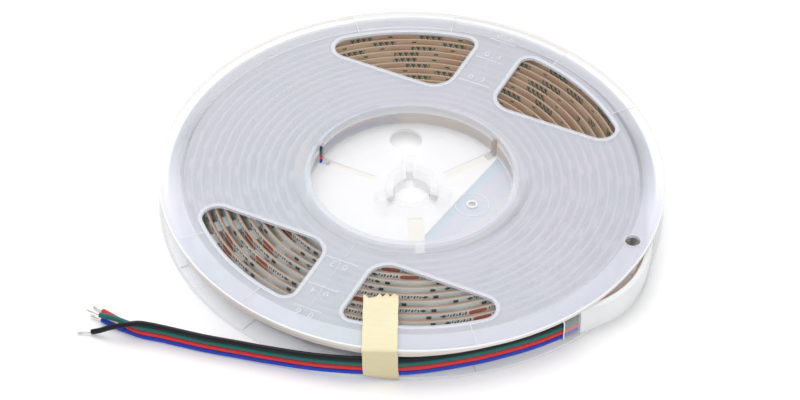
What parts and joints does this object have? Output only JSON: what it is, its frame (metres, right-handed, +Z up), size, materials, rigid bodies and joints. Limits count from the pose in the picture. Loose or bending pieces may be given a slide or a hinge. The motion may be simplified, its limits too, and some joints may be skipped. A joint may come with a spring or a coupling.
{
  "type": "led strip light reel",
  "caption": "Flat translucent reel with windowed flanges and a keyed hub, wound with silicone-covered LED strip whose flat four-wire tail is taped to the rim.",
  "frame": {"origin": "on the reel's axis, in the plane that the lower rim rests on", "axes": "+Z up along the reel's axis, +X to the right and -Y to the front, where the tape holds the wires"},
  "size_m": [0.2036, 0.1808, 0.0144],
  "materials": {
    "frosted_plastic": "frosted, translucent",
    "release_liner": "smooth backing film with plain green marks",
    "circuit_board": "white solder mask",
    "clear_silicone": "clear, glossy",
    "clear_sleeve": "clear shrink tube",
    "blue_insulation": "semi-gloss",
    "red_insulation": "semi-gloss",
    "green_insulation": "semi-gloss",
    "black_insulation": "semi-gloss",
    "tinned_strands": "tinned copper strands",
    "crepe_tape": "fine crepe, matte"
  },
  "bodies": {
    "root": {"reel_base": "frosted_plastic", "reel_cover": "frosted_plastic", "strip_liner": "release_liner", "strip_board": "circuit_board", "strip_silicone": "clear_silicone", "outer_end_sleeve": "clear_sleeve", "inner_end_sleeve": "clear_sleeve", "outer_wire_blue": "blue_insulation", "inner_wire_blue": "blue_insulation", "outer_strands_blue": "tinned_strands", "outer_wire_red": "red_insulation", "inner_wire_red": "red_insulation", "outer_strands_red": "tinned_strands", "outer_wire_green": "green_insulation", "inner_wire_green": "green_insulation", "outer_strands_green": "tinned_strands", "outer_wire_black": "black_insulation", "inner_wire_black": "black_insulation", "outer_strands_black": "tinned_strands", "masking_tape": "crepe_tape"}
  },
  "joints": []
}
